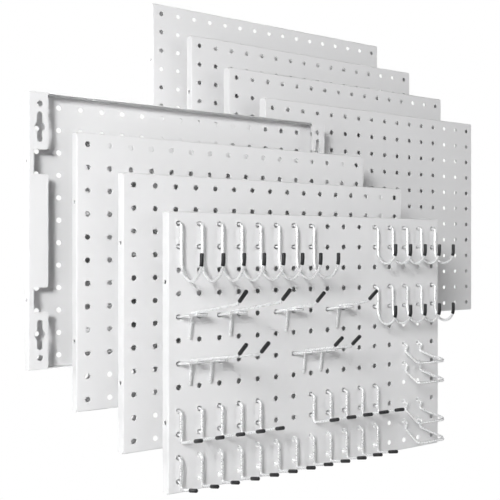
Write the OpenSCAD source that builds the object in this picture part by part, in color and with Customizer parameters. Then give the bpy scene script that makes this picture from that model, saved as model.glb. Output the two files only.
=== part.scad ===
// Pegboard tool wall: eight folded steel pegboard panels in a staggered stack, and fifty wire hooks
// hung on the front one. +X runs along the panels, +Y into the wall, +Z up. The origin is the centre
// of the rearmost panel's wall-screw pattern, on the plane where its back flanges meet the wall.

/* [Panel] */
// Peg holes along each row
hole_columns = 16; // [16:1:20]
// Peg holes down each column
hole_rows = 12; // [12:1:16]
// Distance between neighbouring peg holes
pitch = 25.4; // [24:0.1:26]
// Diameter of a peg hole
peg_hole_d = 6; // [5.6:0.1:7]
// Depth of the folded tray, front face to back flange
tray_depth = 15; // [14:0.5:20]
// Thickness of the steel sheet
sheet = 1; // [0.8:0.1:1.4]

/* [Back flanges] */
// Width of a fastening tab, from the panel's side edge
tab_width = 22; // [21:0.5:26]
// Width of the flange that stays between the tabs
lip_width = 6; // [4:0.5:8]
// Height of the tab at each corner
corner_tab_height = 63; // [58:1:70]
// Height of the gap between a corner tab and the middle tab
tab_gap = 27; // [20:1:30]
// Corner radius of the tabs
tab_corner = 3; // [1:0.5:4]
// Diameter of the round wall-screw hole
screw_hole_d = 6.5; // [5:0.1:7]
// Width of the keyhole slot
slot_width = 6; // [4:0.5:7]
// End-to-end length of the keyhole slot
slot_length = 33; // [26:1:36]
// Diameter of the hole in the middle of the keyhole
keyhole_d = 11.4; // [9:0.1:12]
// Diameter of the holes that join one panel to the next
joining_hole_d = 5; // [4:0.5:6]

/* [Stack] */
// Distance from one panel's face to the next one's
layer_step = 30.3; // [30:0.1:34]
// Sideways step from panel to panel within a group of four
side_steps = [39.1, 41.4, 43.6];
// Step down from panel to panel within a group of four
drop_steps = [42.2, 44.6, 45];
// Place of the rear group of four against the front group
group_shift = [201.7, 118.9, 165.3];

/* [Hooks] */
// Diameter of the hook wire
wire_d = 3.2; // [3:0.1:3.4]
// Diameter of the soft black tips
tip_d = 4.5; // [4.4:0.1:5]
// Width of the large J hook's bend, between wire centres
large_j_width = 46.3; // [40:0.1:50]
// Depth of the large J hook below its upper hole
large_j_drop = 61.7; // [56:0.1:64]
// Width of the small J hook's bend, between wire centres
small_j_width = 32.2; // [28:0.1:36]
// Depth of the small J hook below its upper hole
small_j_drop = 45.9; // [44:0.1:50]
// Reach of a long brace hook's arm, up to its bend
long_arm = 102.6; // [90:0.1:110]
// Reach of a short brace hook's arm, up to its bend
short_arm = 59; // [50:0.1:70]
// Reach of a long L hook
long_l_reach = 55.8; // [50:0.1:60]
// Reach of a short L hook
short_l_reach = 44.5; // [40:0.1:48]
// Width across the front of a pliers loop, between wire centres
loop_width = 48.4; // [40:0.1:50]
// Reach of a pliers loop
loop_reach = 38.4; // [34:0.1:44]

/* [Hidden] */
$fn = 48;

// Panel
edge_margin = pitch / 2;
panel_w = hole_columns * pitch;
panel_h = hole_rows * pitch;
middle_tab_start = corner_tab_height + tab_gap;
joining_inset = 3 * pitch;
keyhole_inset = 1.5 * pitch;

// Stack: each panel's top left peg hole, counted from the front panel's
panel_count = 8;
turned_panel = 4;              // this panel shows its back
function sum(list, n) = n == 0 ? 0 : list[n - 1] + sum(list, n - 1);
function place(i) =
    let (k = i % 4, group = i < 4 ? [0, 0, 0] : group_shift)
    group + [-sum(side_steps, k), k * layer_step, sum(drop_steps, k)];
rear_hole = place(panel_count - 1);
stack_origin = [
    rear_hole[0] + panel_w / 2 - edge_margin,
    rear_hole[1] + tray_depth,
    rear_hole[2] - panel_h / 2 + edge_margin
];
function first_hole(i) = place(i - 1) - stack_origin;

// Wire shapes. In each, Y runs from the board's face (0) towards the user (negative).
wire_r = wire_d / 2;
peg_y = 5.5;                   // the upturned end of the wire, behind the sheet
peg_top = 9;
peg_end_y = 3;                 // the lower peg's end
stand_off = 6.5;               // from the board's face to the wire's centre
small_bend = 3;
lap = 0.25;                    // how far a straight stretch of wire runs into a bend
lap_step = 0.02;               // how much thinner it is than the bend
arm_slope = 1 / 6;             // rise over reach of a brace hook's staple and arm
bar_y = -20;                   // the staple's front bar
bar_z = 3.4;
brace_top_y = -6;
brace_foot = [-1.9, -24];
arm_over_bar = 2.8;            // the arm lies on the bar and is welded to it
arm_end = [-16.9, 13.6];       // from the arm's bend to its end
l_drop = 33;
long_l_rise = 10.3;
short_l_rise = 9.7;
loop_elbow = [-7.4, -1.2];
loop_heel = [-2.8, -10.7];
loop_front_z = -20.4;
large_j_end = 32.1;            // from the upper hole down to the end of the J's front leg
small_j_end = 21.5;
large_j_tip = 13.4;            // lengths of the soft tips
small_j_tip = 14.7;
brace_tip = 17;
l_tip = 20.4;
tip_wall = 1;                  // tip material past the end of the wire
tip_gap = 0.05;                // between the wire and the tip's bore

// Column and row of the upper peg hole of each hook, counted from the panel's top left corner
large_j_holes = [for (c = [1:8]) [c, 1]];
small_j_holes = [for (r = [1, 4], c = [12:16]) [c, r]];
single_brace_holes = [[1, 5], [3, 5], [6, 5], [9, 5]];
double_brace_holes = [[1, 7], [7, 7]];
long_l_holes = [for (c = [1, 2, 3, 4, 5, 8, 9, 10, 11, 12]) [c, 9]];
short_l_holes = [for (c = [1:12]) [c, 11]];
pliers_loop_holes = [for (r = [7, 8, 10, 11]) [14, r]];
long_singles = 2;              // the first brace hooks of each kind have the long arm
long_doubles = 1;

function numbered(name, count) = [for (i = [1:count]) str(name, "_", i)];

// ---- Helpers ----

function unit(v) = v / norm(v);
function turn(a, b) = acos(unit(a) * unit(b));
function leg(points, i) = points[i + 1] - points[i];

// How far from corner i the straight wire stops and its bend starts
function setback(points, bends, i) =
    i == 0 || i == len(points) - 1
    ? 0
    : bends[i - 1] * tan(turn(leg(points, i - 1), leg(points, i)) / 2);

// A point in the plane x = x, from its Y and Z
function at(x, yz) = [x, yz[0], yz[1]];
function in_plane(x, list) = [for (yz = list) at(x, yz)];
function reversed(list) = [for (i = [len(list) - 1:-1:0]) list[i]];

// Puts its children with their X, Y and Z axes along x, y and z, and their origin at p
module placed(p, x, y, z) {
    multmatrix([
        [x[0], y[0], z[0], p[0]],
        [x[1], y[1], z[1], p[1]],
        [x[2], y[2], z[2], p[2]],
        [0, 0, 0, 1]
    ])
        children();
}

// Puts its children with their Z axis along z and their origin at p
module aimed(p, z) {
    side = abs(z[0]) < 0.9 ? [1, 0, 0] : [0, 1, 0];
    x = unit(cross(side, z));
    placed(p, x, cross(z, x), z)
        children();
}

module rod(a, b) {
    aimed(a, unit(b - a))
        cylinder(h = norm(b - a), r = wire_r - lap_step);
}

// The bend at corner p, from direction a to direction b, with centre-line radius bend
module elbow(p, a, b, bend) {
    angle = turn(a, b);
    across = unit(b - a * (a * b));
    start = p - a * bend * tan(angle / 2);
    placed(start + across * bend, -across, a, cross(-across, a))
        rotate_extrude(angle = angle)
            translate([bend, 0])
                circle(r = wire_r);
}

// One bent wire along its corner points, with a bend radius for each inner corner. Each straight
// stretch is a hair thinner than the bends and laps into them, so that they join in one solid.
module wire(points, bends) {
    last = len(points) - 1;
    for (i = [0:last - 1]) {
        way = unit(leg(points, i));
        from = setback(points, bends, i);
        to = setback(points, bends, i + 1);
        if (norm(leg(points, i)) - from - to > lap)
            rod(
                points[i] + way * (i > 0 ? from - lap : 0),
                points[i + 1] - way * (i < last - 1 ? to - lap : 0)
            );
    }
    for (i = [1:last - 1])
        elbow(points[i], unit(leg(points, i - 1)), unit(leg(points, i)), bends[i - 1]);
}

// A soft sleeve of this length over the end of a wire that comes from a and ends in the sleeve at b
module tip(a, b, length) {
    way = unit(b - a);
    bore_r = wire_r + tip_gap;
    bore_depth = length - tip_wall + tip_gap;
    chamfer = tip_d / 6;
    color([0.08, 0.08, 0.08])
        aimed(b - way * length, way)
            rotate_extrude()
                polygon([
                    [0, bore_depth],
                    [bore_r, bore_depth],
                    [bore_r, 0],
                    [tip_d / 2, 0],
                    [tip_d / 2, length - chamfer],
                    [tip_d / 2 - chamfer, length],
                    [0, length]
                ]);
}

// A wire whose last end carries a tip
module tipped_wire(points, bends, length) {
    last = len(points) - 1;
    way = unit(leg(points, last - 1));
    wire_points = [for (i = [0:last]) i < last ? points[i] : points[i] - way * tip_wall];
    color([0.78, 0.79, 0.8])
        wire(wire_points, bends);
    tip(points[last - 1], points[last], length);
}

// ---- Panels ----

module holes(places, d) {
    for (p = places)
        translate(p)
            circle(d = d);
}

// The folded panel's parts are flat plates, drawn in X and Y and then stood up.
module plate()
    linear_extrude(height = sheet)
        children();

module face_plate() {
    grid = [
        for (c = [0:hole_columns - 1], r = [0:hole_rows - 1])
            [edge_margin + c * pitch - panel_w / 2, edge_margin + r * pitch - panel_h / 2]
    ];
    plate()
        difference() {
            square([panel_w, panel_h], center = true);
            holes(grid, peg_hole_d);
        }
}

// A side wall of the tray, its length along X and its depth along Y, with two joining holes
module wall_plate(length) {
    reach = length / 2 - joining_inset;
    plate()
        difference() {
            translate([-length / 2, 0])
                square([length, tray_depth]);
            holes([[-reach, tray_depth / 2], [reach, tray_depth / 2]], joining_hole_d);
        }
}

// A fastening tab from the side edge inwards, with its two inner corners rounded
module tab(low, high) {
    translate([0, low])
        square([tab_width - tab_corner, high - low]);
    translate([0, low + tab_corner])
        square([tab_width, high - low - 2 * tab_corner]);
    holes(
        [
            [tab_width - tab_corner, low + tab_corner],
            [tab_width - tab_corner, high - tab_corner]
        ],
        2 * tab_corner
    );
}

// A double-ended keyhole: a slot with a wider round hole at its middle
module keyhole() {
    straight = slot_length - slot_width;
    square([slot_width, straight], center = true);
    holes([[0, -straight / 2], [0, straight / 2]], slot_width);
    circle(d = keyhole_d);
}

// The back flange along one side: a lip, a middle tab and two corner tabs with their holes
module flange_plate() {
    top = panel_h / 2;
    plate()
        difference() {
            union() {
                translate([0, -top])
                    square([lip_width, panel_h]);
                tab(-top, corner_tab_height - top);
                tab(middle_tab_start - top, top - middle_tab_start);
                tab(top - corner_tab_height, top);
            }
            for (side = [-1, 1]) {
                translate([edge_margin, side * (top - edge_margin)])
                    circle(d = screw_hole_d);
                translate([edge_margin, side * (top - keyhole_inset)])
                    keyhole();
            }
        }
}

// One panel, centred in X and Z, with its face at Y = 0 and its back at Y = tray_depth
module panel_shape() {
    rotate([90, 0, 0])
        mirror([0, 0, 1])
            face_plate();
    for (side = [0, 1])
        mirror([side, 0, 0]) {
            translate([-panel_w / 2, 0, 0])
                rotate([0, 90, 0])
                    wall_plate(panel_h);
            translate([-panel_w / 2, tray_depth, 0])
                rotate([90, 0, 0])
                    flange_plate();
        }
    for (side = [0, 1])
        mirror([0, 0, side])
            translate([0, 0, -panel_h / 2])
                wall_plate(panel_w);
}

module panel(i) {
    hole = first_hole(i);
    turned = i == turned_panel;
    color([0.9, 0.9, 0.91])
        translate([
            hole[0] + panel_w / 2 - edge_margin,
            hole[1] + (turned ? tray_depth : 0),
            hole[2] - panel_h / 2 + edge_margin
        ])
            mirror([0, turned ? 1 : 0, 0])
                panel_shape();
}

// ---- Hooks, each drawn from the face of the board at its upper left peg hole ----

// The wire from its upturned end, through the board and out to where the hook starts
function peg(y_out) = [[peg_y, peg_top], [peg_y, 0], [y_out, 0]];

module lower_peg()
    color([0.78, 0.79, 0.8])
        rod([0, -stand_off, -pitch], [0, peg_end_y, -pitch]);

// The stretch of a J hook's soft tip that follows the wire round its bend, by this angle
module curved_sleeve(centre, radius, angle) {
    lap_angle = lap / radius * 180 / PI;
    color([0.08, 0.08, 0.08])
        placed(centre, [0, -1, 0], [0, 0, -1], [1, 0, 0])
            rotate([0, 0, -lap_angle])
                rotate_extrude(angle = angle + lap_angle)
                    translate([radius, 0])
                        difference() {
                            circle(r = tip_d / 2 - lap_step);
                            circle(r = wire_r + tip_gap + lap_step);
                        }
}

module j_hook(width, drop, end, tip_length) {
    radius = width / 2;
    front = -stand_off - width;
    straight = drop - radius - end;
    path = concat(peg(-stand_off), [[-stand_off, -drop], [front, -drop], [front, -end]]);
    tipped_wire(in_plane(0, path), [small_bend, small_bend, radius, radius], straight);
    curved_sleeve(
        [0, front + radius, radius - drop],
        radius,
        (tip_length - straight) / radius * 180 / PI
    );
    lower_peg();
}

module large_j_hook()
    j_hook(large_j_width, large_j_drop, large_j_end, large_j_tip);

module small_j_hook()
    j_hook(small_j_width, small_j_drop, small_j_end, small_j_tip);

module l_hook(reach, rise) {
    path = concat(peg(-stand_off), [[-stand_off, -l_drop], [-reach, rise - l_drop]]);
    tipped_wire(in_plane(0, path), [small_bend, small_bend, small_bend + 1], l_tip);
    lower_peg();
}

module long_l_hook()
    l_hook(long_l_reach, long_l_rise);

module short_l_hook()
    l_hook(short_l_reach, short_l_rise);

// The U-shaped wire that hangs a brace hook in two peg holes, width apart
module staple(width) {
    sag = bar_z + arm_slope * (bar_y - peg_y);
    half = [[peg_y, peg_top], [peg_y, sag], [bar_y, bar_z]];
    color([0.78, 0.79, 0.8])
        wire(
            concat(in_plane(0, half), reversed(in_plane(width, half))),
            [small_bend, small_bend + 1, small_bend + 1, small_bend]
        );
}

// An arm at distance x from the left peg hole, in one wire with its brace down the board
module braced_arm(x, reach) {
    rise = function (y) bar_z + arm_over_bar + (bar_y - y) * arm_slope;
    bend = [-reach, rise(-reach)];
    path = [brace_foot, [brace_top_y, rise(brace_top_y)], bend, bend + arm_end];
    tipped_wire(in_plane(x, path), [small_bend + 1, small_bend + 2], brace_tip);
}

module single_brace_hook(i) {
    staple(pitch);
    braced_arm(pitch / 2, i <= long_singles ? long_arm : short_arm);
}

module double_brace_hook(i) {
    staple(2 * pitch);
    for (x = [pitch / 2, 3 * pitch / 2])
        braced_arm(x, i <= long_doubles ? long_arm : short_arm);
}

module pliers_loop() {
    spread = (loop_width - pitch) / 2;
    side = [[peg_y, peg_top], [peg_y, -loop_elbow[1]], loop_elbow, loop_heel];
    front = [-loop_reach, loop_front_z];
    color([0.78, 0.79, 0.8])
        wire(
            concat(
                in_plane(0, side),
                [at(-spread, front), at(pitch + spread, front)],
                reversed(in_plane(pitch, side))
            ),
            [
                small_bend, small_bend - 0.5, small_bend, small_bend + 2,
                small_bend + 2, small_bend, small_bend - 0.5, small_bend
            ]
        );
}

// Puts its children at the front panel's peg hole in this column and row
module hung(hole)
    translate(first_hole(1) + [(hole[0] - 1) * pitch, 0, -(hole[1] - 1) * pitch])
        children();

// ---- Every piece, each in its own node ----

for (i = [1:panel_count])
    panel(i);
for (i = [1:len(large_j_holes)])
    hung(large_j_holes[i - 1]) large_j_hook();
for (i = [1:len(small_j_holes)])
    hung(small_j_holes[i - 1]) small_j_hook();
for (i = [1:len(single_brace_holes)])
    hung(single_brace_holes[i - 1]) single_brace_hook(i);
for (i = [1:len(double_brace_holes)])
    hung(double_brace_holes[i - 1]) double_brace_hook(i);
for (i = [1:len(long_l_holes)])
    hung(long_l_holes[i - 1]) long_l_hook();
for (i = [1:len(short_l_holes)])
    hung(short_l_holes[i - 1]) short_l_hook();
for (i = [1:len(pliers_loop_holes)])
    hung(pliers_loop_holes[i - 1]) pliers_loop();
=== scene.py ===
"""Pegboard tool wall: folded steel pegboard panels in a staggered stack, with wire hooks on the front one."""

import math

import bpy
import numpy as np
from bpy.props import FloatProperty, FloatVectorProperty, IntProperty, PointerProperty
from mathutils import Matrix, Vector
from mathutils.geometry import delaunay_2d_cdt


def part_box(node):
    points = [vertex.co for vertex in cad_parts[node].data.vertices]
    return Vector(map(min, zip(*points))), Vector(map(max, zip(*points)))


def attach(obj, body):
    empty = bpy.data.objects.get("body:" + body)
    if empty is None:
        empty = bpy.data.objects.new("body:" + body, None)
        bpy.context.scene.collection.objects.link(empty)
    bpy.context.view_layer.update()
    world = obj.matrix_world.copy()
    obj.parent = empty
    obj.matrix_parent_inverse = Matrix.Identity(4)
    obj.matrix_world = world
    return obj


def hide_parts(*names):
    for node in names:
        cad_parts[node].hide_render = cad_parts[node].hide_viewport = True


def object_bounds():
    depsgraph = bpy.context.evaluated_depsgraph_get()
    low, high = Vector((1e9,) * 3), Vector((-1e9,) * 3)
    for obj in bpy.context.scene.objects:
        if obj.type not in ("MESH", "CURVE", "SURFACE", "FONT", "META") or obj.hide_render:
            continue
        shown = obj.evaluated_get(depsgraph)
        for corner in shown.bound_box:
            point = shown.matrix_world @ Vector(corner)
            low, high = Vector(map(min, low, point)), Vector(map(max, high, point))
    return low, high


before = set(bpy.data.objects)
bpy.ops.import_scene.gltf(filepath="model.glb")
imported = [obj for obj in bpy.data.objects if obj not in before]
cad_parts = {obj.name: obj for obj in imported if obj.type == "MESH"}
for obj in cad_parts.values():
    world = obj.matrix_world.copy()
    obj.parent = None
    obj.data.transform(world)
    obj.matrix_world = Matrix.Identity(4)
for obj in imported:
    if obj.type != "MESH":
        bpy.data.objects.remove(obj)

bl_info = {
    "name": "Pegboard Tool Wall",
    "version": (1, 0, 0),
    "blender": (4, 5, 0),
    "location": "View3D > Sidebar > Pegboard",
    "description": "Builds folded steel pegboard panels and hangs wire hooks on the front one",
    "category": "Object",
}

MM = 0.001
CAD_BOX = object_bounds()

FRONT_PANEL = "panel_1"
TURNED_PANEL = "panel_4"
PANELS = [f"panel_{i}" for i in range(1, 9)]

# Column and row of the upper left peg hole of each hook, counted from the panel's top left corner
LARGE_J_HOLES = [(column, 1) for column in range(1, 9)]
SMALL_J_HOLES = [(column, row) for row in (1, 4) for column in range(12, 17)]
SINGLE_BRACE_HOLES = [(1, 5), (3, 5), (6, 5), (9, 5)]
DOUBLE_BRACE_HOLES = [(1, 7), (7, 7)]
LONG_L_HOLES = [(column, 9) for column in (1, 2, 3, 4, 5, 8, 9, 10, 11, 12)]
SHORT_L_HOLES = [(column, 11) for column in range(1, 13)]
PLIERS_LOOP_HOLES = [(14, row) for row in (7, 8, 10, 11)]
# How many of the brace hooks, counted from the first, have long arms
LONG_SINGLES = 2
LONG_DOUBLES = 1

# Each softbox: degrees to the right of straight in front, then distance, rise and size in metres
SOFTBOXES = {
    "key": (-50, 2.1, 0.6, (0.5, 0.5)),
    "side": (-72, 2.5, 0.0, (0.7, 1.2)),
    "fill": (38, 4.0, 0.5, (2.0, 2.6)),
    "flank": (100, 4.0, 0.3, (2.0, 2.6)),
    "back": (205, 4.0, 1.0, (2.4, 2.4)),
}

# Noise seldom leaves this range
NOISE_LOW, NOISE_HIGH = 0.3, 0.7


# ---- Settings ----


def length(name, description, millimetres):
    return FloatProperty(
        name=name,
        description=description,
        default=millimetres * MM,
        min=0.0,
        precision=5,
        subtype="DISTANCE",
        unit="LENGTH",
    )


def colour(name, description, value):
    return FloatVectorProperty(
        name=name, description=description, default=value, min=0.0, max=1.0, size=3, subtype="COLOR"
    )


def share(name, description, value):
    return FloatProperty(
        name=name, description=description, default=value, min=0.0, max=1.0, subtype="FACTOR"
    )


def power(name, description, watts):
    return FloatProperty(name=name, description=description, default=watts, min=0.0, unit="POWER")


class PegboardPanelSettings(bpy.types.PropertyGroup):
    """Sizes of the folded steel panels"""

    columns: IntProperty(name="Columns", description="Peg holes along each row", default=16, min=1)
    rows: IntProperty(name="Rows", description="Peg holes down each column", default=12, min=1)
    pitch: length("Pitch", "Distance between neighbouring peg holes", 25.4)
    peg_hole: length("Peg hole", "Diameter of a peg hole", 6.0)
    depth: length("Depth", "Depth of the tray, from its face to its back flanges", 15.0)
    sheet: length("Sheet", "Thickness of the steel sheet", 1.0)
    fold: length("Fold", "Outer radius of the folds", 1.5)
    soft_edge: length("Soft edge", "Radius that the coating gives to cut edges", 0.2)
    relief: length("Relief", "How far the corner cut-outs reach past the folds", 0.3)
    seam: length("Seam", "Gap where two walls meet in a corner", 0.15)
    tab_width: length("Tab width", "Width of a fastening tab, from the side edge", 22.0)
    lip_width: length("Lip width", "Width of the flange between two tabs", 6.0)
    tab_height: length("Tab height", "Height of the tab at each corner", 63.0)
    tab_gap: length("Tab gap", "Height of the gap between two tabs", 27.0)
    tab_corner: length("Tab corner", "Corner radius of the tabs", 3.0)
    screw_hole: length("Screw hole", "Diameter of the round wall-screw hole", 6.5)
    slot_width: length("Slot width", "Width of the keyhole slot", 6.0)
    slot_length: length("Slot length", "End-to-end length of the keyhole slot", 33.0)
    keyhole: length("Keyhole", "Diameter of the round hole in the middle of the slot", 11.4)
    joining_hole: length("Joining hole", "Diameter of the holes in the side walls", 5.0)
    hole_sides: IntProperty(name="Hole sides", description="Points round a hole", default=28, min=8)


class PegboardHookSettings(bpy.types.PropertyGroup):
    """Sizes of the wire hooks"""

    wire: length("Wire", "Diameter of the hook wire", 3.2)
    tip: length("Tip", "Diameter of the soft tips", 4.2)
    stand_off: length("Stand-off", "From the board's face to the wire's centre", 6.5)
    small_bend: length("Small bend", "Centre-line radius of the tight bends", 3.0)
    large_j_width: length("Large J width", "Width of the bend, between wire centres", 46.3)
    large_j_drop: length("Large J drop", "Depth below the upper hole", 61.7)
    small_j_width: length("Small J width", "Width of the bend, between wire centres", 32.2)
    small_j_drop: length("Small J drop", "Depth below the upper hole", 45.9)
    long_arm: length("Long arm", "Reach of a long brace hook, up to its bend", 102.6)
    short_arm: length("Short arm", "Reach of a short brace hook, up to its bend", 59.0)
    long_l: length("Long L", "Reach of a long L hook", 52.8)
    short_l: length("Short L", "Reach of a short L hook", 41.6)
    loop_width: length("Loop width", "Width of a pliers loop, between wire centres", 48.4)
    loop_reach: length("Loop reach", "Reach of a pliers loop", 38.4)
    sides: IntProperty(name="Sides", description="Points round the wire", default=20, min=6)


class PegboardFinishSettings(bpy.types.PropertyGroup):
    """Colours and gloss of the three finishes"""

    coat: colour("Powder coat", "Colour of the coated steel", (0.80, 0.80, 0.805))
    coat_roughness: share("Coat roughness", "Roughness of the powder coat", 0.46)
    plate: colour("Plating", "Colour of the plated wire", (0.96, 0.965, 0.97))
    plate_roughness: share("Plating roughness", "Roughness of the plated wire", 0.27)
    plate_metal: share("Plating metal", "How far the plating mirrors like bare metal", 0.55)
    vinyl: colour("Vinyl", "Colour of the soft tips", (0.006, 0.006, 0.007))
    vinyl_roughness: share("Vinyl roughness", "Roughness of the soft tips", 0.42)


class PegboardStageSettings(bpy.types.PropertyGroup):
    """Camera, light and floor"""

    camera: FloatVectorProperty(
        name="Camera", description="Place of the camera", default=(-0.62304, -0.93985, -0.18638),
        size=3, subtype="TRANSLATION", unit="LENGTH",
    )
    heading: FloatProperty(
        name="Heading", description="How far the camera looks to the right of straight on",
        default=math.radians(31.943), subtype="ANGLE", unit="ROTATION",
    )
    lens: FloatProperty(
        name="Lens", description="Focal length on a 36 mm sensor", default=52.88, min=1.0, unit="CAMERA"
    )
    key: power("Left light", "Power of the small softbox at the front left", 36.0)
    side: power("Side light", "Power of the softbox at the left side", 17.0)
    fill: power("Right light", "Power of the large softbox at the front right", 34.0)
    flank: power("Flank light", "Power of the large softbox at the right side", 34.0)
    back: power("Back light", "Power of the large softbox behind", 120.0)
    sky: share("Surround", "Brightness of the surround, on the left light's side", 0.1)
    sky_contrast: share("Dim side", "Brightness of the surround's other side, as a share of that", 0.6)
    floor_drop: length("Floor drop", "How far the floor lies below the lowest panel", 900.0)


# ---- Mesh helpers ----


def new_object(name, mesh, place=(0, 0, 0), turn=0.0):
    piece = bpy.data.objects.new(name, mesh)
    bpy.context.scene.collection.objects.link(piece)
    piece.matrix_world = Matrix.Translation(place) @ Matrix.Rotation(turn, 4, "Z")
    return piece


def new_mesh(name, points, faces, material, normals=None):
    """A smooth-shaded mesh of these points and faces, with a normal for each point if they are given"""
    mesh = bpy.data.meshes.new(name)
    mesh.from_pydata([tuple(p) for p in points], [], faces)
    mesh.materials.append(material)
    mesh.polygons.foreach_set("use_smooth", [True] * len(mesh.polygons))
    if normals is not None:
        mesh.normals_split_custom_set_from_vertices([tuple(n) for n in normals])
    mesh.update()
    return mesh


def arc(centre, radius, start, end, steps):
    """Points on a flat arc, from one angle to the other in degrees"""
    angles = [math.radians(start + (end - start) * k / steps) for k in range(steps + 1)]
    return [(centre[0] + radius * math.cos(a), centre[1] + radius * math.sin(a)) for a in angles]


# ---- Folded panel ----
#
# A panel is made as a real one is: a flat blank is cut and punched, and then folded. Points of the
# blank are (u, v, depth), with u along the panel, v up it and depth into the sheet from its outer skin.


class Blank:
    """The sizes of one panel's flat blank, worked out from the settings"""

    fold_steps = 4

    def __init__(self, s):
        self.s = s
        self.half_w = s.columns * s.pitch / 2
        self.half_h = s.rows * s.pitch / 2
        self.face_u = self.half_w - s.fold
        self.face_v = self.half_h - s.fold
        self.bend = s.fold * math.pi / 2
        self.wall = s.depth - 2 * s.fold
        self.flange_u = self.face_u + 2 * self.bend + self.wall
        self.tab_u = self.flange_u + s.tab_width - s.fold
        self.lip_u = self.flange_u + s.lip_width - s.fold
        self.screw_u = self.flange_u + s.pitch / 2 - s.fold
        self.wall_middle = self.bend + s.depth / 2 - s.fold
        self.joining_inset = 3 * s.pitch
        self.keyhole_inset = 1.5 * s.pitch

    def fold_lines(self, start):
        """The lines across one fold, from where it starts"""
        return [start + self.bend * k / self.fold_steps for k in range(self.fold_steps + 1)]

    def side_wing(self):
        """Outline of the right wall and its flange, from the lower corner cut-out to the upper one"""
        s = self.s
        cut_v = self.face_v - s.relief
        widen_u = self.face_u + self.bend + s.relief
        low = [(self.face_u - s.relief, -cut_v)]
        low += [(u, -cut_v) for u in self.fold_lines(self.face_u)]
        low += [(widen_u, -cut_v), (widen_u, -self.half_h)]
        low += [(u, -self.half_h) for u in self.fold_lines(self.face_u + self.bend + self.wall)]
        low += [(self.tab_u, -self.half_h)]
        gap_low = s.tab_height - self.half_h
        gap_high = gap_low + s.tab_gap
        r = s.tab_corner
        low += arc((self.tab_u - r, gap_low - r), r, 0, 90, 6)
        low += [(self.lip_u, gap_low), (self.lip_u, gap_high)]
        low += arc((self.tab_u - r, gap_high + r), r, -90, 0, 6)
        high = [(u, -v) for u, v in reversed(low)]
        return low + high[:-1]

    def top_wing(self):
        """Outline of the top wall, from its right end to its left end. It is shorter under the tabs."""
        s = self.s
        cut_u = self.face_u - s.relief
        wall_u = self.half_w - s.sheet - s.seam
        clear_u = self.half_w - s.tab_width - s.seam
        widen_v = self.face_v + self.bend + s.relief
        full_v = self.face_v + self.bend + s.depth - s.fold
        under_tab_v = full_v - s.sheet - s.seam
        right = [(cut_u, self.face_v - s.relief)]
        right += [(cut_u, v) for v in self.fold_lines(self.face_v)]
        right += [(cut_u, widen_v), (wall_u, widen_v)]
        right += [(wall_u, under_tab_v), (clear_u, under_tab_v), (clear_u, full_v)]
        left = [(-u, v) for u, v in reversed(right)]
        return right + left[:-1]

    def outline(self):
        """Outline of the whole blank, anticlockwise"""
        half = self.side_wing() + self.top_wing()
        return half + [(-u, -v) for u, v in half]

    def hole(self, centre, diameter):
        """A round opening, clockwise"""
        return arc(centre, diameter / 2, 0, -360, self.s.hole_sides)[:-1]

    def keyhole(self, centre):
        """A slot with round ends and a wider round middle"""
        s = self.s
        slot_r, middle_r = s.slot_width / 2, s.keyhole / 2
        end_v = s.slot_length / 2 - slot_r
        meet = math.degrees(math.asin(slot_r / middle_r))
        u, v = centre
        points = arc((u, v + end_v), slot_r, 180, 0, 10)
        points += arc(centre, middle_r, 90 - meet, meet - 90, 10)
        points += arc((u, v - end_v), slot_r, 0, -180, 10)
        points += arc(centre, middle_r, 270 - meet, 90 + meet, 10)
        return points

    def peg_centres(self):
        s = self.s
        return [
            ((c + 0.5) * s.pitch - self.half_w, (r + 0.5) * s.pitch - self.half_h)
            for c in range(s.columns)
            for r in range(s.rows)
        ]

    def other_holes(self):
        """Joining, screw and keyhole openings"""
        s = self.s
        joining_u = self.half_w - self.joining_inset
        joining_v = self.half_h - self.joining_inset
        side_wall_u = self.face_u + self.wall_middle
        top_wall_v = self.face_v + self.wall_middle
        screw_v = self.half_h - s.pitch / 2
        keyhole_v = self.half_h - self.keyhole_inset
        loops = []
        for side in (-1, 1):
            for end in (-1, 1):
                loops.append(self.hole((side * side_wall_u, end * joining_v), s.joining_hole))
                loops.append(self.hole((end * joining_u, side * top_wall_v), s.joining_hole))
                loops.append(self.hole((side * self.screw_u, end * screw_v), s.screw_hole))
                loops.append(self.keyhole((side * self.screw_u, end * keyhole_v)))
        return loops

    def folded(self, blank):
        """Where points of the flat blank lie once it is folded: an array of x, y, z"""
        s = self.s
        u, v, depth = blank.T
        on_top = (abs(v) > self.face_v) & (abs(u) < self.face_u + self.bend / 2)
        on_side = (abs(u) > self.face_u) & ~on_top
        across = np.where(on_top, abs(v) - self.face_v, abs(u) - self.face_u)
        out, back = np.zeros(len(u)), depth.copy()
        # First fold, from the face to a wall
        first = np.clip(across / self.bend, 0, 1) * math.pi / 2
        out += (s.fold - depth) * np.sin(first)
        back += (s.fold - depth) * (1 - np.cos(first))
        # Second fold, from a side wall to its flange
        past = np.maximum(across - self.bend, 0)
        wall = np.where(on_side, np.minimum(past, self.wall), past)
        second = np.where(on_side, np.clip((past - self.wall) / self.bend, 0, 1), 0) * math.pi / 2
        flange = np.where(on_side, np.maximum(past - self.wall - self.bend, 0), 0)
        back = np.where(across > 0, back + wall + (s.fold - depth) * np.sin(second), back)
        out = out - (s.fold - depth) * (1 - np.cos(second)) - flange
        x = np.where(on_side, np.sign(u) * (self.face_u + out), u)
        z = np.where(on_top, np.sign(v) * (self.face_v + out), v)
        y = np.where(on_top | on_side, back, depth)
        return np.column_stack([x, y, z])


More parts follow.
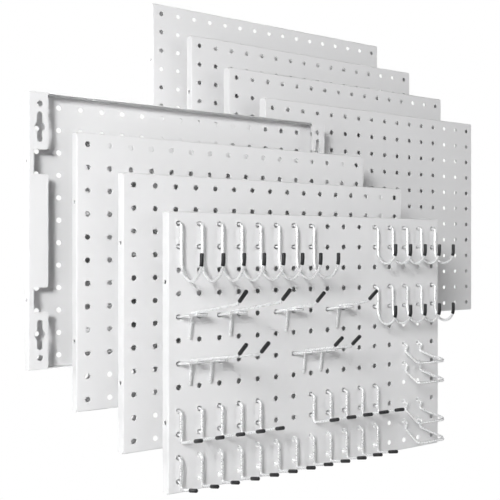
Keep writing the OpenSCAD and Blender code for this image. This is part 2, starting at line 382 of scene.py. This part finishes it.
def shrunk(loop, distance):
    """The loop moved into the sheet, which lies on its left, and the way each of its points moved"""
    points = np.array(loop)
    before = points - np.roll(points, 1, axis=0)
    after = np.roll(points, -1, axis=0) - points
    before /= np.linalg.norm(before, axis=1)[:, None]
    after /= np.linalg.norm(after, axis=1)[:, None]
    left_before = np.column_stack([-before[:, 1], before[:, 0]])
    left_after = np.column_stack([-after[:, 1], after[:, 0]])
    middle = left_before + left_after
    middle /= np.linalg.norm(middle, axis=1)[:, None]
    return points + middle * (distance / (middle * left_after).sum(1))[:, None], middle


def inside(loop, points):
    """Which points lie inside the loop"""
    found = np.zeros(len(points), bool)
    ends = np.roll(loop, -1, axis=0)
    for (u0, v0), (u1, v1) in zip(loop, ends):
        if v0 != v1:
            crosses = (v0 > points[:, 1]) != (v1 > points[:, 1])
            at = u0 + (points[:, 1] - v0) * (u1 - u0) / (v1 - v0)
            found ^= crosses & (points[:, 0] < at)
    return found


def skin(blank, loops):
    """Flat triangles between the outline and the holes, with the fold lines among their edges"""
    points, edges = [], []
    for loop in loops:
        first = len(points)
        points += [tuple(p) for p in loop]
        edges += [(first + k, first + (k + 1) % len(loop)) for k in range(len(loop))]
    edge = blank.s.soft_edge
    cut_u = blank.face_u - blank.s.relief - edge
    cut_v = blank.face_v - blank.s.relief - edge
    for side in (-1, 1):
        lines = [((side * u, -cut_v), (side * u, cut_v)) for u in blank.fold_lines(blank.face_u)]
        end_v = blank.half_h - edge
        lines += [
            ((side * u, -end_v), (side * u, end_v))
            for u in blank.fold_lines(blank.face_u + blank.bend + blank.wall)
        ]
        lines += [((-cut_u, side * v), (cut_u, side * v)) for v in blank.fold_lines(blank.face_v)]
        for line in lines:
            edges.append((len(points), len(points) + 1))
            points += line
    keep_inside, merge_distance, track_sources = 1, 1e-4, True
    found, _, triangles, sources, _, _ = delaunay_2d_cdt(
        [Vector(p) / MM for p in points], edges, [], keep_inside, merge_distance, track_sources
    )
    flat = np.array([tuple(p) for p in found]) * MM
    triangles = np.array([tuple(t) for t in triangles])
    place = {}
    for k, same in enumerate(sources):
        for source in same:
            place[source] = k
            flat[k] = points[source]
    middles = flat[triangles].mean(1)
    # Triangles in a hole, or past the outline, go. The peg holes are told by the distance to the nearest
    # one's centre, which is quicker than testing each loop.
    pitch = blank.s.pitch
    from_peg = (middles + (blank.half_w, blank.half_h)) % pitch - pitch / 2
    on_face = (abs(middles[:, 0]) < blank.face_u) & (abs(middles[:, 1]) < blank.face_v)
    gone = on_face & (np.linalg.norm(from_peg, axis=1) < blank.s.peg_hole / 2 + edge / 2)
    gone |= ~inside(loops[0], middles)
    for loop in loops[1 + blank.s.columns * blank.s.rows:]:
        gone |= inside(loop, middles)
    return flat, triangles[~gone], place


def panel_mesh(s, material):
    """One folded panel, centred in X and Z, with its face at Y = 0"""
    blank = Blank(s)
    cuts = [blank.outline()]
    cuts += [blank.hole(centre, s.peg_hole) for centre in blank.peg_centres()]
    cuts += blank.other_holes()
    soft = [shrunk(cut, s.soft_edge) for cut in cuts]
    flat, triangles, index = skin(blank, [loop for loop, _ in soft])
    count = len(flat)
    zeros, ones = np.zeros(count), np.ones(count)
    points = [np.column_stack([flat, zeros]), np.column_stack([flat, zeros + s.sheet])]
    normals = [np.column_stack([zeros, zeros, -ones]), np.column_stack([zeros, zeros, ones])]
    faces = [tuple(t) for t in triangles] + [tuple(t + count) for t in triangles[:, ::-1]]
    total = 2 * count
    # How far in from the cut, how deep, and which way each ring of a cut edge faces
    diagonal = math.sqrt(0.5)
    near = s.soft_edge * (1 - diagonal)
    rings = [
        (near, near, -diagonal), (0.0, s.soft_edge, 0.0),
        (0.0, s.sheet - s.soft_edge, 0.0), (near, s.sheet - near, diagonal),
    ]
    first = 0
    for cut in cuts:
        size = len(cut)
        top = [index[first + k] for k in range(size)]
        first += size
        rows = [top]
        for inset, depth, facing in rings:
            ring, inward = shrunk(cut, inset)
            points.append(np.column_stack([ring, np.full(size, depth)]))
            normals.append(np.column_stack([-inward * math.sqrt(1 - facing**2), np.full(size, facing)]))
            rows.append(list(range(total, total + size)))
            total += size
        rows.append([k + count for k in top])
        for row, below in zip(rows, rows[1:]):
            for k in range(size):
                after = (k + 1) % size
                faces.append((row[k], below[k], below[after], row[after]))
    points, normals = np.concatenate(points), np.concatenate(normals)
    # A point a hair along each normal is folded too, which turns the normal as the sheet turns
    hair = 1e-7
    folded = blank.folded(points)
    turned = blank.folded(points + normals * hair) - folded
    turned /= np.linalg.norm(turned, axis=1)[:, None]
    return new_mesh("panel", folded, faces, material, turned)


class PEGBOARD_OT_panels(bpy.types.Operator):
    """Fold the steel panels and put each where the frame has it"""

    bl_idname = "pegboard.panels"
    bl_label = "Panels"

    def execute(self, context):
        settings = context.scene.pegboard_panel
        mesh = panel_mesh(settings, powder_coat(context.scene.pegboard_finish))
        for node in PANELS:
            low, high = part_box(node)
            middle = (low + high) / 2
            turned = node == TURNED_PANEL
            place = (middle.x, high.y if turned else low.y, middle.z)
            piece = new_object(f"{node}_tray", mesh, place, math.pi if turned else 0.0)
            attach(piece, node)
            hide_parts(node)
        return {"FINISHED"}


# ---- Bent wire ----


class BentPath:
    """A line through its corner points, rounded with a bend radius at each inner corner"""

    degrees_per_step = 9
    shortest = 1e-6

    def __init__(self, corners, bends):
        corners = [Vector(c) for c in corners]
        points = [corners[0]]
        for before, corner, after, radius in zip(corners, corners[1:], corners[2:], bends):
            way_in, way_out = (corner - before).normalized(), (after - corner).normalized()
            turn = way_in.angle(way_out)
            start = corner - way_in * radius * math.tan(turn / 2)
            across = (way_out - way_in * way_in.dot(way_out)).normalized()
            centre = start + across * radius
            steps = max(2, math.ceil(math.degrees(turn) / self.degrees_per_step))
            for k in range(steps + 1):
                angle = turn * k / steps
                point = centre - across * radius * math.cos(angle) + way_in * radius * math.sin(angle)
                if (point - points[-1]).length > self.shortest:
                    points.append(point)
        if (corners[-1] - points[-1]).length > self.shortest:
            points.append(corners[-1])
        self.points = points
        steps = [(b - a).length for a, b in zip(points, points[1:])]
        self.marks = [sum(steps[:k]) for k in range(len(points))]
        self.length = self.marks[-1]
        ways = [(b - a).normalized() for a, b in zip(points, points[1:])]
        self.ways = [ways[0]]
        self.ways += [(a + b).normalized() for a, b in zip(ways, ways[1:])] + [ways[-1]]
        side = Vector((1, 0, 0)) if abs(self.ways[0].x) < 0.9 else Vector((0, 0, 1))
        side = (side - self.ways[0] * side.dot(self.ways[0])).normalized()
        self.sides = [side]
        for a, b in zip(self.ways, self.ways[1:]):
            side = a.rotation_difference(b) @ side
            self.sides.append((side - b * side.dot(b)).normalized())

    def at(self, mark):
        """The point, direction and side at this distance along the path"""
        k = 0
        while k < len(self.marks) - 2 and self.marks[k + 1] < mark:
            k += 1
        t = (mark - self.marks[k]) / (self.marks[k + 1] - self.marks[k])
        point = self.points[k].lerp(self.points[k + 1], t)
        t = min(max(t, 0.0), 1.0)
        way = self.ways[k].lerp(self.ways[k + 1], t).normalized()
        side = self.sides[k].lerp(self.sides[k + 1], t)
        return point, way, (side - way * side.dot(way)).normalized()

    def between(self, start, end):
        """The distances of the path's own points between these two"""
        margin = 10 * self.shortest
        return [m for m in self.marks if start + margin < m < end - margin]


class Shells:
    """Points and faces of one piece, gathered from several closed shells"""

    chamfer_share = 0.22  # of the wire's radius
    nose_share = 0.55     # of the tip's radius
    lip_steps, nose_steps = 4, 6

    def __init__(self, sides):
        self.sides = sides
        self.points, self.faces = [], []

    def rings(self, stations):
        """A closed shell through rings (path, distance, radius), from one end to the other"""
        first = len(self.points)
        n = self.sides
        for path, mark, radius in stations:
            point, way, side = path.at(mark)
            up = way.cross(side)
            for k in range(n):
                angle = 2 * math.pi * k / n
                self.points.append(point + (side * math.cos(angle) + up * math.sin(angle)) * radius)
        for row in range(len(stations) - 1):
            a = first + row * n
            for k in range(n):
                after = (k + 1) % n
                self.faces.append((a + k, a + after, a + n + after, a + n + k))
        self.faces.append(tuple(first + k for k in reversed(range(n))))
        last = first + (len(stations) - 1) * n
        self.faces.append(tuple(last + k for k in range(n)))

    def wire(self, path, radius, end):
        """A wire along the path, up to this distance, with its cut ends broken by a small chamfer"""
        chamfer = radius * self.chamfer_share
        self.rings(
            [(path, 0.0, radius - chamfer), (path, chamfer, radius)]
            + [(path, m, radius) for m in path.between(chamfer, end - chamfer)]
            + [(path, end - chamfer, radius), (path, end, radius - chamfer)]
        )

    def sleeve(self, path, length, bore, radius, end_wall):
        """A dipped tip over the end of the path: a rolled lip, a long skin and a round nose"""
        end = path.length
        start = end - length
        lip = (radius - bore) / 2
        nose = radius * self.nose_share
        bore_end = end - end_wall
        stations = [(path, bore_end, bore)]
        stations += [(path, m, bore) for m in reversed(path.between(start + lip, bore_end))]
        for k in range(self.lip_steps + 1):
            angle = math.pi * k / self.lip_steps
            mark = start + lip - lip * math.sin(angle)
            stations.append((path, mark, bore + lip - lip * math.cos(angle)))
        stations += [(path, m, radius) for m in path.between(start + lip, end - nose)]
        for k in range(self.nose_steps + 1):
            angle = math.pi / 2 * k / self.nose_steps
            mark = end - nose + nose * math.sin(angle)
            stations.append((path, mark, radius - nose + nose * math.cos(angle)))
        self.rings(stations)

    def bead(self, centre, size):
        """A small weld bead: a flattened ball, a little uneven"""
        rows, n = 6, 12
        first = len(self.points)
        for row in range(1, rows):
            tilt = math.pi * row / rows
            for k in range(n):
                angle = 2 * math.pi * k / n
                swell = 1 + 0.06 * math.sin(3 * angle + row) + 0.04 * math.cos(5 * angle - 2 * row)
                self.points.append(Vector(centre) + Vector((
                    size[0] * math.sin(tilt) * math.cos(angle) * swell,
                    size[1] * math.sin(tilt) * math.sin(angle) * swell,
                    size[2] * math.cos(tilt),
                )))
        low, high = len(self.points), len(self.points) + 1
        self.points += [Vector(centre) - Vector((0, 0, size[2])), Vector(centre) + Vector((0, 0, size[2]))]
        for row in range(rows - 2):
            a = first + row * n
            for k in range(n):
                after = (k + 1) % n
                self.faces.append((a + k, a + n + k, a + n + after, a + after))
        for k in range(n):
            after = (k + 1) % n
            self.faces.append((high, first + k, first + after))
            last = first + (rows - 2) * n
            self.faces.append((low, last + after, last + k))

    def mesh(self, name, material):
        mesh = new_mesh(name, self.points, self.faces, material)
        mesh.set_sharp_from_angle(angle=math.radians(50))
        return mesh


def flat_path(x, corners, bends):
    """A path in the plane X = x, from Y and Z corners in millimetres"""
    return BentPath([(x, y * MM, z * MM) for y, z in corners], [b * MM for b in bends])


class HookDesign:
    """One kind of hook, drawn from its upper left peg hole: a wire piece and a piece with its tips"""

    # The finer sizes, in millimetres. Pairs are (y, z), from the hole's centre on the board's face.
    peg_y, peg_top, peg_end_y = 5.5, 9.0, 3.0        # the pegs behind the sheet
    j_ends = {"large": 32.1, "small": 21.5}          # from the upper hole down to a J's front end
    j_tips = {"large": 13.4, "small": 14.7}          # lengths of the soft tips
    l_drop, l_tip = 33.0, 14.8
    l_rises = {"long": 12.6, "short": 9.0}           # how far the foot of an L rises to its end
    bar_y, bar_z, slope = -20.0, 3.4, 1 / 6          # a staple's front bar, and the slope behind it
    brace_top_y, brace_foot = -6.0, (-1.9, -24.0)
    arm_over_bar, arm_end, arm_tip = 2.8, (-16.9, 13.6), 17.0
    loop_elbow, loop_heel, loop_front_z = (-7.4, -1.2), (-2.8, -10.7), -20.4
    tip_wall, tip_gap = 1.0, 0.05                    # vinyl past the wire's end, and room round it

    def __init__(self, name, settings, pitch, finish):
        self.name, self.s, self.finish = name, settings, finish
        self.pitch = pitch / MM
        self.wires = Shells(settings.sides)
        self.tips = Shells(settings.sides)

    def in_mm(self, setting):
        return getattr(self.s, setting) / MM

    def add_wire(self, path):
        self.wires.wire(path, self.s.wire / 2, path.length)

    def add_tipped(self, path, tip_length):
        """A wire with a soft tip over its last stretch; the wire ends inside it"""
        radius = self.s.wire / 2
        end_wall = (self.tip_wall - self.tip_gap) * MM
        self.tips.sleeve(path, tip_length * MM, radius + self.tip_gap * MM, self.s.tip / 2, end_wall)
        self.wires.wire(path, radius, path.length - self.tip_wall * MM)

    def add_lower_peg(self):
        stand_off = self.in_mm("stand_off")
        self.add_wire(flat_path(0, [(-stand_off, -self.pitch), (self.peg_end_y, -self.pitch)], []))
        wire = self.s.wire
        self.wires.bead(
            (0, -(stand_off * MM) + wire * 0.52, -self.pitch * MM), (wire * 0.62, wire * 0.3, wire * 0.66)
        )

    def upper_peg(self):
        return [(self.peg_y, self.peg_top), (self.peg_y, 0), (-self.in_mm("stand_off"), 0)]

    def j_hook(self, kind):
        """A large or a small J hook"""
        stand_off, bend = self.in_mm("stand_off"), self.in_mm("small_bend")
        width, drop = self.in_mm(f"{kind}_j_width"), self.in_mm(f"{kind}_j_drop")
        front = -stand_off - width
        corners = self.upper_peg() + [(-stand_off, -drop), (front, -drop), (front, -self.j_ends[kind])]
        self.add_tipped(flat_path(0, corners, [bend, bend, width / 2, width / 2]), self.j_tips[kind])
        self.add_lower_peg()

    def l_hook(self, kind):
        """A long or a short L hook"""
        stand_off, bend = self.in_mm("stand_off"), self.in_mm("small_bend")
        end = (-self.in_mm(f"{kind}_l"), self.l_rises[kind] - self.l_drop)
        corners = self.upper_peg() + [(-stand_off, -self.l_drop), end]
        self.add_tipped(flat_path(0, corners, [bend, bend, bend]), self.l_tip)
        self.add_lower_peg()

    def staple(self, width):
        """The wire that goes into two peg holes and carries the arms on its front bar"""
        bend = self.in_mm("small_bend") * MM
        sag = self.bar_z + self.slope * (self.bar_y - self.peg_y)
        half = [(self.peg_y, self.peg_top), (self.peg_y, sag), (self.bar_y, self.bar_z)]
        left = [(0, y * MM, z * MM) for y, z in half]
        right = [(width * MM, y * MM, z * MM) for y, z in reversed(half)]
        self.add_wire(BentPath(left + right, [bend, bend + MM, bend + MM, bend]))

    def arm_height(self, y):
        return self.bar_z + self.arm_over_bar + (self.bar_y - y) * self.slope

    def braced_arm(self, x, reach):
        """One arm at this distance from the first hole, with the brace that it runs down into"""
        bend = self.in_mm("small_bend")
        turn = (-reach, self.arm_height(-reach))
        end = (turn[0] + self.arm_end[0], turn[1] + self.arm_end[1])
        corners = [self.brace_foot, (self.brace_top_y, self.arm_height(self.brace_top_y)), turn, end]
        self.add_tipped(flat_path(x * MM, corners, [bend + 1, bend + 2]), self.arm_tip)
        wire = self.s.wire
        middle = self.bar_z + self.arm_over_bar / 2
        for side in (-1, 1):
            self.wires.bead(
                (x * MM + side * wire * 0.42, self.bar_y * MM, middle * MM),
                (wire * 0.42, wire * 0.4, wire * 0.3),
            )

    def pliers_loop(self):
        """A wide loop of one wire, held in two peg holes"""
        bend = self.in_mm("small_bend")
        spread = (self.in_mm("loop_width") - self.pitch) / 2
        side = [(self.peg_y, self.peg_top), (self.peg_y, -self.loop_elbow[1])]
        side += [self.loop_elbow, self.loop_heel]
        front = (-self.in_mm("loop_reach"), self.loop_front_z)
        corners = [(0, y, z) for y, z in side]
        corners += [(-spread, *front), (self.pitch + spread, *front)]
        corners += [(self.pitch, y, z) for y, z in reversed(side)]
        bends = [bend, bend - 0.5, bend, bend + 2]
        self.add_wire(BentPath([Vector(c) * MM for c in corners], [b * MM for b in bends + bends[::-1]]))

    def hang(self, node, hole):
        """Puts this hook's pieces at the front panel's peg hole in this column and row"""
        low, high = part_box(FRONT_PANEL)
        pitch = self.pitch * MM
        column, row = hole
        place = (low.x + (column - 0.5) * pitch, low.y, high.z - (row - 0.5) * pitch)
        pieces = [("wire", self.wires, "plated_wire", plated_wire)]
        if self.tips.points:
            pieces.append(("tip", self.tips, "vinyl_tip", vinyl))
        for suffix, shells, slot, finish in pieces:
            name = f"{self.name}_{suffix}"
            mesh = bpy.data.meshes.get(name) or shells.mesh(name, finish(self.finish))
            piece = new_object(f"{node}_{suffix}", mesh, place)
            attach(piece, node)
            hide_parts(node)


def hang_hooks(context, kind, holes, build):
    """Builds a design with build(design, variant) for each variant of a kind, and hangs it at its holes"""
    designs = {}
    for number, (hole, variant) in enumerate(holes, 1):
        if variant not in designs:
            design = HookDesign(
                f"{kind}_{variant}" if variant else kind,
                context.scene.pegboard_hook,
                context.scene.pegboard_panel.pitch,
                context.scene.pegboard_finish,
            )
            build(design, variant)
            designs[variant] = design
        designs[variant].hang(f"{kind}_{number}", hole)


def plain(holes):
    """The holes of a kind that comes in one variant only"""
    return [(hole, "") for hole in holes]


def long_first(holes, long_count):
    """The holes of a kind whose first hooks have long arms and whose others have short ones"""
    return [(hole, "long" if k < long_count else "short") for k, hole in enumerate(holes)]


class PEGBOARD_OT_large_j_hooks(bpy.types.Operator):
    """Hang the large J hooks along the top row"""

    bl_idname = "pegboard.large_j_hooks"
    bl_label = "Large J Hooks"

    def execute(self, context):
        def build(design, _):
            design.j_hook("large")

        hang_hooks(context, "large_j_hook", plain(LARGE_J_HOLES), build)
        return {"FINISHED"}


class PEGBOARD_OT_small_j_hooks(bpy.types.Operator):
    """Hang the two rows of small J hooks"""

    bl_idname = "pegboard.small_j_hooks"
    bl_label = "Small J Hooks"

    def execute(self, context):
        def build(design, _):
            design.j_hook("small")

        hang_hooks(context, "small_j_hook", plain(SMALL_J_HOLES), build)
        return {"FINISHED"}


class PEGBOARD_OT_single_brace_hooks(bpy.types.Operator):
    """Hang the single-arm brace hooks"""

    bl_idname = "pegboard.single_brace_hooks"
    bl_label = "Single Brace Hooks"

    def execute(self, context):
        def build(design, variant):
            design.staple(design.pitch)
            design.braced_arm(design.pitch / 2, design.in_mm(f"{variant}_arm"))

        hang_hooks(context, "single_brace_hook", long_first(SINGLE_BRACE_HOLES, LONG_SINGLES), build)
        return {"FINISHED"}


class PEGBOARD_OT_double_brace_hooks(bpy.types.Operator):
    """Hang the double-arm brace hooks"""

    bl_idname = "pegboard.double_brace_hooks"
    bl_label = "Double Brace Hooks"

    def execute(self, context):
        def build(design, variant):
            design.staple(2 * design.pitch)
            for x in (design.pitch / 2, 3 * design.pitch / 2):
                design.braced_arm(x, design.in_mm(f"{variant}_arm"))

        hang_hooks(context, "double_brace_hook", long_first(DOUBLE_BRACE_HOLES, LONG_DOUBLES), build)
        return {"FINISHED"}


class PEGBOARD_OT_long_l_hooks(bpy.types.Operator):
    """Hang the long L hooks"""

    bl_idname = "pegboard.long_l_hooks"
    bl_label = "Long L Hooks"

    def execute(self, context):
        def build(design, _):
            design.l_hook("long")

        hang_hooks(context, "long_l_hook", plain(LONG_L_HOLES), build)
        return {"FINISHED"}


class PEGBOARD_OT_short_l_hooks(bpy.types.Operator):
    """Hang the short L hooks along the bottom"""

    bl_idname = "pegboard.short_l_hooks"
    bl_label = "Short L Hooks"

    def execute(self, context):
        def build(design, _):
            design.l_hook("short")

        hang_hooks(context, "short_l_hook", plain(SHORT_L_HOLES), build)
        return {"FINISHED"}


class PEGBOARD_OT_pliers_loops(bpy.types.Operator):
    """Hang the pliers loops"""

    bl_idname = "pegboard.pliers_loops"
    bl_label = "Pliers Loops"

    def execute(self, context):
        def build(design, _):
            design.pliers_loop()

        hang_hooks(context, "pliers_loop", plain(PLIERS_LOOP_HOLES), build)
        return {"FINISHED"}


# ---- Finishes ----


def start_material(name):
    """A new material, its nodes and its shader"""
    material = bpy.data.materials.new(name)
    material.use_nodes = True
    nodes = material.node_tree.nodes
    return material, nodes, material.node_tree.links, nodes["Principled BSDF"]


def noise(nodes, links, scale, detail=2.0, roughness=0.5):
    """Noise in the piece's own coordinates, in features per metre"""
    place = nodes.get("Place") or nodes.new("ShaderNodeTexCoord")
    place.name = "Place"
    texture = nodes.new("ShaderNodeTexNoise")
    texture.inputs["Scale"].default_value = scale
    texture.inputs["Detail"].default_value = detail
    texture.inputs["Roughness"].default_value = roughness
    links.new(place.outputs["Object"], texture.inputs["Vector"])
    return texture.outputs["Fac"]


def between(nodes, links, value, low, high):
    """A noise value spread from low to high"""
    spread = nodes.new("ShaderNodeMapRange")
    spread.inputs["From Min"].default_value = NOISE_LOW
    spread.inputs["From Max"].default_value = NOISE_HIGH
    spread.inputs["To Min"].default_value = low
    spread.inputs["To Max"].default_value = high
    links.new(value, spread.inputs["Value"])
    return spread.outputs["Result"]


def tinted(nodes, links, value, first, second):
    """A colour between these two, as value goes from 0 to 1"""
    mix = nodes.new("ShaderNodeMix")
    mix.data_type = "RGBA"
    links.new(value, mix.inputs["Factor"])
    mix.inputs["A"].default_value = (*first, 1)
    mix.inputs["B"].default_value = (*second, 1)
    return mix.outputs["Result"]


def bumped(nodes, links, shader, value, distance, strength, under=None):
    """Bumps the shader's surface by this value, on top of the bump given as under"""
    bump = nodes.new("ShaderNodeBump")
    bump.inputs["Distance"].default_value = distance
    bump.inputs["Strength"].default_value = strength
    links.new(value, bump.inputs["Height"])
    if under is not None:
        links.new(under, bump.inputs["Normal"])
    links.new(bump.outputs["Normal"], shader.inputs["Normal"])
    return bump.outputs["Normal"]


def scaled(value, factor):
    """A colour made this many times as bright"""
    return tuple(channel * factor for channel in value)


def powder_coat(finish):
    """White powder coat on steel: fine orange peel, with faint clouding in its tone and gloss"""
    found = bpy.data.materials.get("white_powder_coat")
    if found:
        return found
    material, nodes, links, shader = start_material("white_powder_coat")
    cloud = noise(nodes, links, 14, 3)
    shade = between(nodes, links, cloud, 0, 1)
    tint = tinted(nodes, links, shade, scaled(finish.coat, 0.985), finish.coat)
    links.new(tint, shader.inputs["Base Color"])
    grain = noise(nodes, links, 1400, 2, 0.6)
    rough = between(nodes, links, grain, finish.coat_roughness - 0.05, finish.coat_roughness + 0.05)
    links.new(rough, shader.inputs["Roughness"])
    shader.inputs["Specular IOR Level"].default_value = 0.3
    peel = bumped(nodes, links, shader, noise(nodes, links, 420, 1), 0.00006, 0.25)
    bumped(nodes, links, shader, grain, 0.00002, 0.3, peel)
    return material


def plated_wire(finish):
    """Bright plated steel wire: a glossy pale skin with faint marks from drawing"""
    found = bpy.data.materials.get("bright_plating")
    if found:
        return found
    material, nodes, links, shader = start_material("bright_plating")
    shader.inputs["Metallic"].default_value = finish.plate_metal
    cloud = between(nodes, links, noise(nodes, links, 120, 3), 0, 1)
    tint = tinted(nodes, links, cloud, scaled(finish.plate, 0.93), finish.plate)
    links.new(tint, shader.inputs["Base Color"])
    marks = noise(nodes, links, 900, 4, 0.65)
    rough = between(nodes, links, marks, finish.plate_roughness - 0.03, finish.plate_roughness + 0.07)
    links.new(rough, shader.inputs["Roughness"])
    bumped(nodes, links, shader, noise(nodes, links, 500, 2), 0.00003, 0.2)
    return material


def vinyl(finish):
    """Black dipped vinyl: soft gloss with a slightly uneven skin"""
    found = bpy.data.materials.get("black_dipped_vinyl")
    if found:
        return found
    material, nodes, links, shader = start_material("black_dipped_vinyl")
    shade = between(nodes, links, noise(nodes, links, 260, 2), 0, 1)
    tint = tinted(nodes, links, shade, finish.vinyl, scaled(finish.vinyl, 1.6))
    links.new(tint, shader.inputs["Base Color"])
    skin_noise = noise(nodes, links, 700, 3)
    rough = between(
        nodes, links, skin_noise, finish.vinyl_roughness - 0.05, finish.vinyl_roughness + 0.08
    )
    links.new(rough, shader.inputs["Roughness"])
    shader.inputs["Specular IOR Level"].default_value = 0.5
    bumped(nodes, links, shader, noise(nodes, links, 330, 2), 0.00008, 0.25)
    return material


# ---- Stage ----


def add_softbox(name, middle, azimuth, distance, rise, size, power):
    """A softbox round the object, at this angle to the right of its front and this far up"""
    light = bpy.data.lights.new(name, "AREA")
    light.shape = "RECTANGLE"
    light.size, light.size_y = size
    light.energy = power
    lamp = bpy.data.objects.new(name, light)
    bpy.context.scene.collection.objects.link(lamp)
    angle = math.radians(azimuth)
    lamp.location = middle + Vector((distance * math.sin(angle), -distance * math.cos(angle), rise))
    lamp.rotation_euler = (middle - lamp.location).to_track_quat("-Z", "Y").to_euler()


class PEGBOARD_OT_stage(bpy.types.Operator):
    """Set up the camera, the studio light and the floor"""

    bl_idname = "pegboard.stage"
    bl_label = "Stage"

    def execute(self, context):
        scene = context.scene
        stage = scene.pegboard_stage
        self.add_camera(scene, stage)
        self.add_surround(scene, stage)
        low, high = (Vector(corner) for corner in CAD_BOX)
        middle = (low + high) / 2
        for name, layout in SOFTBOXES.items():
            add_softbox(name, middle, *layout, getattr(stage, name))
        self.add_floor(low.z - stage.floor_drop)
        scene.view_settings.view_transform = "Standard"
        return {"FINISHED"}

    def add_camera(self, scene, stage):
        data = bpy.data.cameras.new("camera")
        data.lens = stage.lens
        data.sensor_width = 36.0
        data.clip_end = 50.0
        camera = bpy.data.objects.new("camera", data)
        scene.collection.objects.link(camera)
        camera.location = stage.camera
        camera.rotation_euler = (math.pi / 2, 0, -stage.heading)
        scene.camera = camera

    def add_surround(self, scene, stage):
        """A grey surround, a little brighter towards the left light"""
        world = bpy.data.worlds.new("surround")
        scene.world = world
        world.use_nodes = True
        nodes, links = world.node_tree.nodes, world.node_tree.links
        way = nodes.new("ShaderNodeTexCoord")
        towards_key = nodes.new("ShaderNodeVectorMath")
        towards_key.operation = "DOT_PRODUCT"
        towards_key.inputs[1].default_value = (-0.85, -0.4, 0.35)
        links.new(way.outputs["Generated"], towards_key.inputs[0])
        glow = nodes.new("ShaderNodeMapRange")
        glow.interpolation_type = "SMOOTHSTEP"
        glow.inputs["From Min"].default_value = -0.7
        glow.inputs["From Max"].default_value = 0.7
        glow.inputs["To Min"].default_value = stage.sky * stage.sky_contrast
        glow.inputs["To Max"].default_value = stage.sky
        links.new(towards_key.outputs["Value"], glow.inputs["Value"])
        background = nodes["Background"]
        background.inputs["Color"].default_value = (1, 1, 1, 1)
        links.new(glow.outputs["Result"], background.inputs["Strength"])
        self.add_seen_white(nodes, links, background.outputs["Background"], nodes["World Output"])

    def add_seen_white(self, nodes, links, shader, output):
        """Makes a surface show as plain white and still light the object as its own shader does"""
        white = nodes.new("ShaderNodeEmission")
        white.inputs["Color"].default_value = (1, 1, 1, 1)
        path = nodes.new("ShaderNodeLightPath")
        mix = nodes.new("ShaderNodeMixShader")
        links.new(path.outputs["Is Camera Ray"], mix.inputs["Fac"])
        links.new(shader, mix.inputs[1])
        links.new(white.outputs["Emission"], mix.inputs[2])
        links.new(mix.outputs["Shader"], output.inputs["Surface"])

    def add_floor(self, height):
        reach = 8.0
        turns = ((-1, -1), (1, -1), (1, 1), (-1, 1))
        corners = [(x * reach, y * reach, height) for x, y in turns]
        material, nodes, links, shader = start_material("floor")
        shader.inputs["Base Color"].default_value = (0.5, 0.5, 0.5, 1)
        shader.inputs["Roughness"].default_value = 0.9
        self.add_seen_white(nodes, links, shader.outputs["BSDF"], nodes["Material Output"])
        floor = new_object("floor", new_mesh("floor", corners, [(0, 1, 2, 3)], material))


# ---- Add-on ----

PIECES = (
    PEGBOARD_OT_panels,
    PEGBOARD_OT_large_j_hooks,
    PEGBOARD_OT_small_j_hooks,
    PEGBOARD_OT_single_brace_hooks,
    PEGBOARD_OT_double_brace_hooks,
    PEGBOARD_OT_long_l_hooks,
    PEGBOARD_OT_short_l_hooks,
    PEGBOARD_OT_pliers_loops,
)


class PEGBOARD_PT_sidebar(bpy.types.Panel):
    """Lists the settings and the pieces of the pegboard tool wall"""

    bl_idname = "PEGBOARD_PT_sidebar"
    bl_label = "Pegboard Tool Wall"
    bl_space_type = "VIEW_3D"
    bl_region_type = "UI"
    bl_category = "Pegboard"

    def draw(self, context):
        layout = self.layout
        for group in ("pegboard_panel", "pegboard_hook", "pegboard_finish", "pegboard_stage"):
            box = layout.box()
            settings = getattr(context.scene, group)
            for name in settings.__annotations__:
                box.prop(settings, name)
        for operator in (PEGBOARD_OT_stage, *PIECES):
            layout.operator(operator.bl_idname)


SETTINGS = {
    "pegboard_panel": PegboardPanelSettings,
    "pegboard_hook": PegboardHookSettings,
    "pegboard_finish": PegboardFinishSettings,
    "pegboard_stage": PegboardStageSettings,
}
CLASSES = (*SETTINGS.values(), PEGBOARD_OT_stage, *PIECES, PEGBOARD_PT_sidebar)


def register():
    for cls in CLASSES:
        bpy.utils.register_class(cls)
    for name, cls in SETTINGS.items():
        setattr(bpy.types.Scene, name, PointerProperty(type=cls))


def unregister():
    for name in SETTINGS:
        delattr(bpy.types.Scene, name)
    for cls in reversed(CLASSES):
        bpy.utils.unregister_class(cls)


def main():
    register()
    bpy.ops.pegboard.stage()
    bpy.ops.pegboard.panels()
    bpy.ops.pegboard.large_j_hooks()
    bpy.ops.pegboard.small_j_hooks()
    bpy.ops.pegboard.single_brace_hooks()
    bpy.ops.pegboard.double_brace_hooks()
    bpy.ops.pegboard.long_l_hooks()
    bpy.ops.pegboard.short_l_hooks()
    bpy.ops.pegboard.pliers_loops()


if __name__ == "__main__":
    main()
